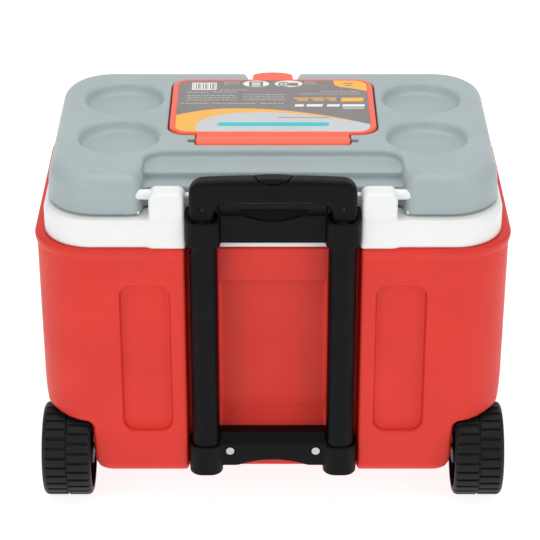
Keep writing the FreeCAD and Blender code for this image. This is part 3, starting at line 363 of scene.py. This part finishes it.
def with_wheel_wells(s, body):
    side = np.abs(s.x)
    arch = np.hypot(s.y - AXLE_Y, np.maximum(s.z - AXLE_Z, 0)) - WHEEL_RADIUS - 6
    body = cut(body, both(arch, WHEEL_IN - 3 - side, 8), 3.5)
    keel = 28 - np.hypot(np.maximum(side - 169, 0), np.maximum(64 - s.z, 0))
    return cut(body, both(both(keel, s.z - 64), s.y + 60), 1)


def with_front_recesses(s, body):
    """The shallow panel of the far side and the round seat of the drain."""
    panel = both(rectangle(s.x, s.z, -186, 186, 84, 268, 26), BODY_FRONT - 4 - s.y, 2.5)
    seat = both(circle(s.x, s.z, DRAIN_X, DRAIN_Z, 24), BODY_FRONT - 12 - s.y, 1.5)
    return cut(cut(body, panel, 2.5), seat, 2)


def chest_shell():
    """The red body with its channel, panels, wheel wells, side grips and feet."""
    s = Space((-258, BODY_REAR - 1, 0), (258, BODY_FRONT, BODY_TOP), 2.0)
    body = with_feet(s, body_block(s))
    body = with_side_grips(s, body)
    body = with_rear_recesses(s, body)
    body = with_wheel_wells(s, body)
    body = with_front_recesses(s, body)
    hollow = rectangle(s.x, s.y, -222.5, 222.5, -109, 146.5, 30)
    between_humps = both(both(hollow, np.abs(s.x) - 190), 56 - s.z)
    body = cut(body, join(between_humps, both(hollow, 116 - s.z)))
    sculpt("chest_shell", s, body, RED, "chest", ["outer_shell", "body_insulation"],
           keep=0.36)


def cavity_field(s, grow):
    """The tapered inside of the white tub, grown outwards, less the humps over the wheels."""
    half = CAVITY_HALF + grow
    outline = rectangle(s.x, s.y, -half, half, CAVITY_REAR - grow, CAVITY_FRONT + grow, 25 + grow)
    outline = outline - narrowing(s.z - CAVITY_LOW, CAVITY_DRAFT)
    block = both(outline, CAVITY_LOW - grow - s.z, 10 + grow)
    hump = both(HUMP_IN + grow - np.abs(s.x), s.y - HUMP_FRONT - grow, 8)
    return cut(block, both(hump, s.z - HUMP_TOP + grow, 8), 8)


def white_liner():
    """The white rim, the hinge blocks on it, the strip behind the handle and the tub inside."""
    block_top = 378.5
    s = Space((-RIM_HALF, RIM_REAR, 60), (RIM_HALF, RIM_FRONT, block_top), 2.0)
    x, y, z = s.x, s.y, s.z
    rim = rectangle(x, y, -RIM_HALF, RIM_HALF, RIM_REAR, RIM_FRONT, 52)
    rim = both(rim, slab(z, BODY_TOP, RIM_TOP), 4.5)
    block = both(rectangle(np.abs(x), z, 92, 130, 300, block_top, 8), slab(y, RIM_REAR, -122), 5)
    block = both(block, BODY_TOP - z)
    strip_plate = both(slab(y, -135, -121.2), slab(z, STRIP_LOW + 0.2, 370), 2)
    strip_plate = both(slab(x, 0.2 - CHANNEL_HALF, CHANNEL_HALF - 0.2), strip_plate)
    outer = join(join(rim, block, 4), strip_plate, 1)
    tub = both(cavity_field(s, 3.0), z - RIM_TOP + 2)
    solid = join(outer, tub, 1)
    solid = cut(solid, both(slab(x, 1 - CHANNEL_HALF, CHANNEL_HALF - 1), y - CHANNEL_Y, 2), 2)
    solid = cut(solid, both(cavity_field(s, 0.0), z - 400), 3)
    spout_bore = circle(x, z, DRAIN_X, DRAIN_Z, 12)
    solid = cut(solid, both(spout_bore, 100 - y))
    sculpt("white_liner", s, solid, WHITE, "chest", ["inner_liner"], keep=0.3)


def lid_outline(s):
    """The lid seen from above, stepped in between the lobes and drafted towards its top."""
    outline = rectangle(s.x, s.y, -LID_HALF, LID_HALF, LID_REAR, LID_FRONT, 56)
    outline = cut(outline, rectangle(s.x, s.y, -TRAY_HALF, TRAY_HALF, -260, LID_REAR + 23, 7), 13)
    return outline + narrowing(s.z - LID_LOW, 4)


def with_hatch_seat(s, body):
    """The sunk seat of the hatch, its hinge's groove, the tab's notch and the well through the lid."""
    x, y, z = s.x, s.y, s.z
    seat = rectangle(x, y, -HATCH_HALF - 1.5, HATCH_HALF + 1.5, HATCH_REAR - 1.5, HATCH_FRONT + 1.5, 21)
    body = cut(body, both(seat, 384 - z, 1), 1.4)
    groove = both(rectangle(x, y, -84, 84, BARREL_Y - 12, BARREL_Y + 21, 3), 375 - z, 4)
    body = cut(body, groove, 1.2)
    rod_ends = both(slab(np.abs(x), 80, 92), slab(y, BARREL_Y - 4, BARREL_Y + 4))
    body = cut(body, both(rod_ends, BARREL_Z - 4 - z, 2), 0.8)
    half = 26 + np.clip(y - HATCH_FRONT, 0, 40) * 0.22
    notch = both(both(np.abs(x) - half, 128 - y), 374 - z, 3)
    body = cut(body, notch, 3)
    return cut(body, rectangle(x, y, -104, 104, -13, 122, 16), 1)


def lid_cover():
    """The grey top of the lid with its tray, cup holders, hatch seat and lobes over the hinge."""
    s = Space((-LID_HALF, LID_REAR, LID_LOW), (LID_HALF, LID_FRONT, LID_TOP), 1.4)
    x, y, z = s.x, s.y, s.z
    outline = lid_outline(s)
    body = both(both(outline, z - LID_TOP, 16), LID_LOW - z, 1.5)
    tray = rectangle(x, y, -TRAY_HALF, TRAY_HALF, -260, TRAY_FRONT, 24)
    body = cut(body, both(tray, 382.5 - z, 4), 5)
    ledge = both(slab(x, -TRAY_HALF, TRAY_HALF), y + 100, 3)
    body = cut(body, both(ledge, 373 - z, 3), 2.5)
    for row in CUP_ROWS:
        wall = circle(np.abs(x), y, CUP_X, row, CUP_ROUND) + narrowing(LID_TOP - z, 28)
        body = cut(body, both(wall, 380 - z, 5), 3.5)
    body = with_hatch_seat(s, body)
    body = cut(body, both(outline + 3.4, z - LID_LOW - 3.5))
    sculpt("lid_cover", s, body, GREY, "lid", ["lid_top", "lid_insulation"], keep=0.30)


def hatch_cover():
    """The coral hatch with its hinge barrel, raised border and finger tab."""
    tab_front = 155
    s = Space((-114, -48, 376), (114, tab_front, HATCH_TOP), 1.0)
    x, y, z = s.x, s.y, s.z
    plate = rectangle(x, y, -HATCH_HALF, HATCH_HALF, HATCH_REAR, HATCH_FRONT, 20)
    plate = both(plate, slab(z, HATCH_TOP - 7.5, HATCH_TOP), 2.6)
    across = slab(x, -BARREL_HALF, BARREL_HALF)
    barrel = both(circle(y, z, BARREL_Y, BARREL_Z, 8), across, 1)
    neck = both(both(across, slab(y, -40, -12)), slab(z, 387, 392.4), 1)
    bow = circle(x, y, 0, tab_front - 40, 40)
    tab = both(rectangle(x, y, -23.2, 23.2, 118, tab_front, 4), bow, 3)
    tab = both(tab, slab(z, 387, 393.2), 2.4)
    piece = join(join(join(plate, barrel, 1), neck, 2.5), tab, 2)
    recess = rectangle(x, y, -107.2, 107.2, -19.2, 127.2, 15)
    piece = cut(piece, both(recess, HATCH_TOP - 1.1 - z, 0.3), 0.5)
    rod_bore = both(circle(y, z, BARREL_Y, BARREL_Z, 2.6), slab(x, -90, 90))
    sculpt("hatch_cover", s, cut(piece, rod_bore), CORAL, "hatch", ["hatch_frame"],
           keep=0.5)


def stadium(u, v, u_mid, v_mid, width, depth):
    """A slot of full width and depth with round ends along u."""
    reach = (width - depth) / 2
    return np.hypot(np.maximum(np.abs(u - u_mid) - reach, 0), v - v_mid) - depth / 2


def tube_hole(s):
    """The flat-sided hole in which an outer tube stands."""
    return stadium(np.abs(s.x), s.y, TUBE_X, TUBE_Y, 30, 24)


def top_bracket():
    """Two collars round the tubes and the web between them, cut off by a slope."""
    low, collar_high = 322, 350
    s = Space((-92, COLLAR_REAR, low), (92, CHANNEL_Y, 358), 0.8)
    x, y, z = s.x, s.y, s.z
    side = np.abs(x)
    collar = both(rectangle(side, y, COLLAR_IN, COLLAR_OUT, COLLAR_REAR, -120, 9), low - z, 1.5)
    web = both(both(slab(x, -60, 60), -146 - y, 2), low - 1 - z, 2)
    body = join(collar, web, 2.5)
    slope = math.radians(12.5)
    collar_top = (z - collar_high) * math.cos(slope) - (y - COLLAR_REAR) * math.sin(slope)
    web_top = (z - 353.4) * 0.89 - (y + 146) * 0.45
    body = both(body, np.where(side < COLLAR_IN + 2, web_top, collar_top), 1.2)
    smile = both(circle(x, z, 0, 346.5 + 76, 76), y + 143.2 - (z - 347) * 0.35, 0.5)
    body = both(cut(body, smile, 0.6), y - CHANNEL_Y)
    body = cut(body, tube_hole(s), 0.8)
    sculpt("top_bracket", s, body, BLACK, "chest", ["trolley_top_bracket"])


def bottom_bracket():
    """Two sockets for the tubes and an arched cross bar held by two screws."""
    low, bar_low, bar_top, arch_round = 42, 51, 89, 106
    s = Space((-92, COLLAR_REAR, low), (92, CHANNEL_Y, 90), 0.8)
    x, y, z = s.x, s.y, s.z
    side = np.abs(x)
    collar = rectangle(side, y, COLLAR_IN, COLLAR_OUT, COLLAR_REAR, -120, 14)
    collar = both(collar, slab(z, low, 78), 2)
    bar = both(both(slab(x, -60, 60), -154 - y, 1.5), slab(z, bar_low, bar_top), 1.5)
    bar = both(bar, (z - bar_top - (y + 144)) * math.sqrt(0.5), 1.5)
    arch = circle(x, z, 0, bar_low + 7 - arch_round, arch_round)
    bar = cut(bar, both(arch, y - CHANNEL_Y), 1.5)
    body = cut(join(collar, bar, 2), both(tube_hole(s), low + 4 - z), 0.8)
    screw_seat = both(circle(side, z, 47, 70, 5.4), y + 152)
    body = both(cut(body, screw_seat, 0.6), y - CHANNEL_Y)
    sculpt("bottom_bracket", s, body, BLACK, "chest", ["trolley_bottom_bracket"])


def grip_bar(s):
    """The crowned, rounded outline of the handle with its legs."""
    crown = 2.0 * (s.x / 74) ** 2
    outline = rectangle(s.x, s.z + crown, -GRIP_HALF, GRIP_HALF, 300, GRIP_TOP, 15)
    outline = cut(outline, rectangle(s.x, s.z, -LEG_IN, LEG_IN, 300, 370, 13), 1)
    return both(outline, both(GRIP_REAR - s.y, s.y - GRIP_FRONT), 5)


def lens(s, radius):
    """The slanted, round prism whose meeting with the bar gives the button its lens shape."""
    return circle(s.x, s.z * LENS_RISE + s.y * LENS_TILT, 0, LENS_MID, radius)


def upright_lens(s, radius):
    """The upright shaft under that lens, in which the button travels."""
    return circle(s.x, GRIP_TOP * LENS_RISE + s.y * LENS_TILT, 0, LENS_MID, radius)


def grip():
    """The handle bar with its two legs, which drop into the collars, and the hole for the button."""
    s = Space((-88, -155.5, LEG_LOW), (88, -135.2, 398), 0.8)
    x, y, z = s.x, s.y, s.z
    side = np.abs(x)
    leg = rectangle(side, y, LEG_IN, GRIP_HALF, GRIP_REAR, -138.8, 6)
    body = both(grip_bar(s), join(358.5 - z, leg, 3))
    body = both(body, LEG_LOW - z, 1)
    shaft = both(upright_lens(s, 25.2), BUTTON_REAR - 0.6 - y)
    hole = join(both(lens(s, 25.2), 386.5 - z), shaft)
    body = cut(body, both(both(hole, y - BUTTON_FRONT - 0.7), 383 - z), 0.3)
    body = cut(body, both(circle(side, z, SCREW_X, SCREW_Z, 2.7), y + 154.1), 0.5)
    bar_room = both(slab(x, -78, 78), both(slab(y, -151.2, -142.8), slab(z, 374, 390.5)))
    sculpt("grip", s, cut(body, bar_room), BLACK, "grip_stage", ["handle_grip"])


def button():
    """The lens-shaped release button, slightly domed over the bar's rounding."""
    s = Space((-22, -157, 386), (22, -136.5, 398.9), 0.5)
    dome = np.maximum(1.0 - 0.9 * (s.x / 19) ** 2, 0)
    sides = both(both(upright_lens(s, 24.5), s.y - BUTTON_FRONT), BUTTON_REAR - s.y)
    body = both(both(sides, grip_bar(s) - dome, 0.5), 387 - s.z)
    sculpt("push_button", s, body, BLACK, "release", ["release_button"])


def flat_mesh(name, points, faces):
    """A piece from points in millimetres and faces."""
    mesh = bpy.data.meshes.new(name)
    mesh.from_pydata([(x * MM, y * MM, z * MM) for x, y, z in points], [], faces)
    piece = bpy.data.objects.new(name, mesh)
    bpy.context.scene.collection.objects.link(piece)
    return piece


def spring():
    """The button's return spring: a wire coil, drawn at a single length."""
    turns, per_turn, around, coil, wire = 5, 24, 8, 3.5, 0.45
    points, faces = [], []
    count = turns * per_turn + 1
    for i in range(count):
        turn = 2 * math.pi * i / per_turn
        height = 374 + 7 * i / (count - 1)
        for j in range(around):
            tilt = 2 * math.pi * j / around
            reach = coil + wire * math.cos(tilt)
            points.append((reach * math.cos(turn), reach * math.sin(turn) + TUBE_Y,
                           height + wire * math.sin(tilt)))
    for i in range(count - 1):
        for j in range(around):
            near, far = i * around, (i + 1) * around
            after = (j + 1) % around
            faces.append([near + j, far + j, far + after, near + after])
    faces.append(list(range(around)))
    faces.append([(count - 1) * around + j for j in reversed(range(around))])
    piece = flat_mesh("return_spring", points, faces)
    dress(piece, STEEL, "grip_stage", ["button_spring"])
    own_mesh(piece)


def repeated(angle, count, radius, shift=0.0):
    """How far a point lies round the wheel from the nearest of evenly spaced lines."""
    turn = (angle * count / (2 * math.pi) + shift) % 1.0
    return (0.5 - np.abs(turn - 0.5)) * 2 * math.pi * radius / count


def wheel(word, mirrored):
    """A wheel with two rows of offset tread blocks, a recessed face and spokes round the hub."""
    s = Space((WHEEL_IN, -170, 0), (WHEEL_OUT, -66, 2 * WHEEL_RADIUS), 0.9)
    x = s.x
    v, w = s.y - AXLE_Y, s.z - AXLE_Z
    radius = np.hypot(v, w)
    angle = np.arctan2(w, v)
    tyre = both(radius - WHEEL_RADIUS, slab(x, WHEEL_IN, WHEEL_OUT), 6)
    gap_low, gap_high, blocks, spokes = 226.2, 227.8, 30, 6
    for low, high, shift in ((202, gap_low, 0.0), (gap_high, 249, 0.5)):
        groove = repeated(angle, blocks, WHEEL_RADIUS, shift) - 1.3
        tyre = cut(tyre, both(both(groove, slab(x, low, high)), 49.4 - radius), 0.6)
    tyre = cut(tyre, both(slab(x, gap_low, gap_high), 50.2 - radius), 0.4)
    dish = both(slab(radius, 17, 40), 240 - x, 3)
    spoke = repeated(angle, spokes, np.maximum(radius, 5)) - 3.4
    dish = cut(dish, both(spoke, 243 - x), 1.5)
    tyre = cut(tyre, dish, 1.5)
    tyre = cut(tyre, both(slab(radius, 17, 44), x - 214, 3), 1.0)
    tyre = cut(tyre, both(radius - 6.3, slab(x, 190, 260)), 0.5)
    piece = sculpt(f"tread_wheel_{word}", s, tyre, TYRE, f"wheel_{word}",
                   [f"wheel_{word}"], keep=0.7)
    if mirrored:
        mirror(piece)


def mirror(piece):
    """Puts a piece on the other side, as in a mirror."""
    mesh = piece.data
    count = len(mesh.vertices)
    place = np.empty(count * 3, np.float32)
    mesh.vertices.foreach_get("co", place)
    place = place.reshape(-1, 3)
    normals = np.empty(count * 3, np.float32)
    mesh.vertex_normals.foreach_get("vector", normals)
    normals = normals.reshape(-1, 3) * (-1, 1, 1)
    place[:, 0] *= -1
    mesh.vertices.foreach_set("co", place.ravel())
    mesh.flip_normals()
    mesh.normals_split_custom_set_from_vertices(normals.tolist())


# ---------------------------------------------------------------- the printed label


def ring(points, center, radius, start, end, steps=6):
    """Adds a quarter or more of a circle to an outline."""
    for i in range(steps + 1):
        turn = math.radians(start + (end - start) * i / steps)
        points.append((center[0] + radius * math.cos(turn), center[1] + radius * math.sin(turn)))
    return points


def oval(x, y, half_x, half_y, steps=36):
    turns = [2 * math.pi * i / steps for i in range(steps)]
    return [(x + half_x * math.cos(t), y + half_y * math.sin(t)) for t in turns]


def strip(x0, x1, y, height, slant=0.0):
    return [(x0, y), (x1, y), (x1 + slant, y + height), (x0 + slant, y + height)]


def wave(x):
    """The far edge of the light part of the label."""
    reach = x + 42
    return 45.5 - reach * reach / (222 if reach < 0 else 493)


LABEL_LEFT, LABEL_RIGHT, LABEL_NEAR, LABEL_FAR, LABEL_CORNER = -106.8, 106.8, -18.8, 126.8, 14.5


def label_ground():
    """The dark base, the light swoosh with its yellow band, and the yellow patch in the far corner."""
    left, right = LABEL_LEFT + LABEL_CORNER, LABEL_RIGHT - LABEL_CORNER
    near, far = LABEL_NEAR + LABEL_CORNER, LABEL_FAR - LABEL_CORNER
    near_left = ring([], (left, near), LABEL_CORNER, 180, 270)
    base = ring(list(near_left), (right, near), LABEL_CORNER, 270, 360)
    ring(base, (right, far), LABEL_CORNER, 0, 90)
    ring(base, (left, far), LABEL_CORNER, 90, 180)
    edge = [(x, wave(x)) for x in np.linspace(LABEL_RIGHT, LABEL_LEFT, 41)]
    light = ring(list(near_left), (right, near), LABEL_CORNER, 270, 345) + edge
    inner = [(-82, LABEL_NEAR), (-85, -8), (-84, 2), (-79, 12), (-70, 21), (-56, 28.5), (-40, 33),
             (-15, 35), (13, 32.5), (48, 25), (83, 12.5), (100, 4.5)]
    patch = [(69, LABEL_FAR), (70.5, 113), (76, 107.5), (90, 103.5), (LABEL_RIGHT, 95)]
    ring(patch, (right, far), LABEL_CORNER, 0, 90)
    return [(base, "dark", 0), (light, "light", 1), (near_left[:-1] + inner + edge, "yellow", 2),
            (patch, "yellow", 2)]


def label_pictures():
    """Two ovals, one with a box in it and one with a wheel, and a panel of upright bars."""
    wheel_x, wheel_y = 12.5, 115.5
    layers = [(oval(-19, 117, 15, 9.5), "white", 2), (oval(18, 117, 16, 9.5), "white", 2),
              (strip(-27, -11, 109, 15), "dark", 3), (strip(-24, -14, 111, 10.5), "light", 4),
              (oval(wheel_x, wheel_y, 6.6, 7.4), "dark", 3), (oval(wheel_x, wheel_y, 4.6, 5.2), "light", 4),
              (oval(wheel_x, wheel_y, 1.8, 2.1), "dark", 5), (strip(19, 29, 111, 9), "dark", 3),
              (strip(-92, -64, 99, 21), "white", 2)]
    for i in range(10):
        start = -90.5 + 2.7 * i
        layers.append((strip(start, start + 0.8 + 0.5 * (i % 3), 101, 17), "dark", 3))
    return layers


def label_dashes():
    """Rows of faint dashes of uneven length, as (start, end, height on the label)."""
    rows = [(-97, -73, 91), (-68, -41, 92), (-97, -41, 81.5), (-97, -41, 75), (-97, -41, 68.5),
            (-33, 15, 84), (-33, 15, 77), (-33, 15, 70), (-103, -72, 58.5), (-68, -20, 58.5),
            (-14, 12, 58.5), (-56, -38, 121), (-56, -38, 115.5), (36, 50, 121), (36, 50, 115.5),
            (53, 98, 93), (29, 98, 86), (-60, -30, 98)]
    shortest, gap, thickness = 1.5, 1.1, 1.9
    rng = np.random.default_rng(7)
    layers = []
    for x0, x1, y in rows:
        while x0 < x1 - shortest:
            wide = min(rng.uniform(2.5, 7.5), x1 - x0)
            layers.append((strip(x0, x0 + wide, y, thickness), "faint", 2))
            x0 += wide + gap
    return layers


def label_bars():
    """The thick plain bars: dark, yellow, white and one long turquoise one."""
    layers = [(strip(82, 90, 111, 2.4), "dark", 3), (strip(80, 92, 117, 2.4), "dark", 3),
              (strip(76, 101, 65, 11, 1.5), "yellow", 2), (strip(78, 102, 45, 2), "white", 2),
              (strip(6, 62, 19, 1.6), "dark", 2)]
    for x0, x1 in ((24, 40), (42, 58), (60, 71)):
        layers += [(strip(x0, x1, 73, 3), "yellow", 2), (strip(x0 + 3, x1, 67.5, 3), "yellow", 2)]
    for x0, x1 in ((24, 34), (37, 55), (60, 74), (77, 102)):
        layers.append((strip(x0, x1, 50.5, 6.5, 1.2), "white", 2))
    half_height = 5.2
    bar = ring([], (-56, 1), half_height, 90, 270)
    layers.append((ring(bar, (57, 1), half_height, -90, 90), "blue", 2))
    return layers


def label():
    """The printed panel of the hatch: thin plates of ink, each an (outline, ink, level), no lettering."""
    inks = {
        "dark": linear(122, 117, 115), "light": linear(196, 200, 203), "yellow": linear(244, 178, 60),
        "white": linear(236, 236, 232), "faint": linear(180, 177, 175), "blue": linear(20, 190, 198),
    }
    order = list(inks)
    points, faces, kinds = [], [], []
    base_low, base_high, film = 393.05, 393.45, 0.03
    layers = label_ground() + label_pictures() + label_dashes() + label_bars()
    for outline, ink, level in layers:
        top = base_high + film * level
        bottom = base_low if level == 0 else top - film
        start, count = len(points), len(outline)
        points += [(x, y, bottom) for x, y in outline]
        points += [(x, y, top) for x, y in outline]
        faces.append([start + count + k for k in range(count)])
        faces.append([start + k for k in reversed(range(count))])
        for k in range(count):
            after = (k + 1) % count
            faces.append([start + k, start + after, start + count + after, start + count + k])
        kinds += [order.index(ink)] * (count + 2)
    piece = flat_mesh("label_print", points, faces)
    dress(piece, BLACK, "hatch", ["hatch_label_panel"])
    piece.data.materials.clear()
    for ink in order:
        piece.data.materials.append(moulded("ink_" + ink, inks[ink], 0.3, grain=500.0, depth=0.00002,
                                            wear=0.1, patch=0.03))
    piece.data.polygons.foreach_set("material_index", kinds)


chest_shell()
white_liner()
spring()
label()
lid_cover()
hatch_cover()
top_bracket()
bottom_bracket()
grip()
button()
wheel("right", mirrored=False)
wheel("left", mirrored=True)

# ---------------------------------------------------------------- CAD nodes that stay
FINISHES = {
    "hatch_insulation": FOAM, "drain_spout": WHITE, "drain_cap": WHITE, "lid_hinge_pin": WHITE,
    "lid_liner": WHITE, "hatch_plug": WHITE, "hatch_seal": RUBBER, "hatch_hinge_rod": STEEL,
    "wheel_axle": STEEL, "axle_cap": BLACK, "bracket_screws": STEEL, "grip_screws": BLACKED,
    "outer_tube": TUBE, "middle_tube_plug": BLACK, "inner_tube_plug": BLACK, "middle_tube": BARE,
    "inner_tube": BARE, "lock_pin": STEEL, "release_bar": BLACK, "push_rod": STEEL,
}
for name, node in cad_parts.items():
    if node.hide_render:
        continue
    finish = next(m for word, m in FINISHES.items() if name.startswith(word))
    node.data.materials.clear()
    node.data.materials.append(finish)

# ---------------------------------------------------------------- floor, light and camera


def floor():
    """A pale floor that curves up far behind the chest."""
    mesh = bpy.data.meshes.new("floor")
    half_width, near, length, height, flat_share, steps = 6.0, -4, 14, 6, 0.6, 40
    columns, rows = (-half_width, half_width), []
    for i in range(steps + 1):
        t = i / steps
        rise = max(t - flat_share, 0) / (1 - flat_share)
        rows.append((near + length * t, height * rise ** 2.2))
    points = [(x, y, z) for y, z in rows for x in columns]
    faces = [(2 * i, 2 * i + 1, 2 * i + 3, 2 * i + 2) for i in range(len(rows) - 1)]
    mesh.from_pydata(points, [], faces)
    mesh.polygons.foreach_set("use_smooth", [True] * len(faces))
    piece = bpy.data.objects.new("floor", mesh)
    bpy.context.scene.collection.objects.link(piece)
    n = Nodes("floor_paint")
    n.link(n.mix(n.noise(2.0, 3.0), linear(168, 168, 168), linear(162, 162, 162)), "Base Color")
    n.shader.inputs["Roughness"].default_value = 0.7
    n.shader.inputs["Emission Color"].default_value = (1, 1, 1, 1)
    n.shader.inputs["Emission Strength"].default_value = 0.85
    mesh.materials.append(n.material)


def area_light(name, place, aim, size, power):
    """A soft white light in watts that looks at a point."""
    light = bpy.data.lights.new(name, "AREA")
    light.shape = "RECTANGLE"
    light.size, light.size_y = size
    light.energy = power
    lamp = bpy.data.objects.new(name, light)
    lamp.location = place
    lamp.rotation_euler = (Vector(aim) - Vector(place)).to_track_quat("-Z", "Y").to_euler()
    bpy.context.scene.collection.objects.link(lamp)


CHEST_MIDDLE = (0, 0, 0.2)

floor()
area_light("overhead", (0.0, 0.2, 2.6), CHEST_MIDDLE, (2.6, 2.2), 35)
area_light("front_left", (-1.9, -2.3, 1.5), CHEST_MIDDLE, (1.6, 1.8), 23)
area_light("front_right", (2.1, -2.0, 1.4), CHEST_MIDDLE, (1.6, 1.8), 19)
world = bpy.data.worlds.new("studio")
world.use_nodes = True
world.node_tree.nodes["Background"].inputs[0].default_value = (1, 1, 1, 1)
world.node_tree.nodes["Background"].inputs[1].default_value = 0.43
bpy.context.scene.world = world
bpy.context.scene.view_settings.view_transform = "Standard"

camera = bpy.data.objects.new("camera", bpy.data.cameras.new("camera"))
camera.data.sensor_width = 36
camera.data.lens = 143.33
camera.data.clip_end = 50
camera.location = (-0.0032, -2.1635, 1.3311)
looking_down = 27.3
camera.rotation_euler = (math.radians(90 - looking_down), 0, 0)
bpy.context.scene.collection.objects.link(camera)
bpy.context.scene.camera = camera
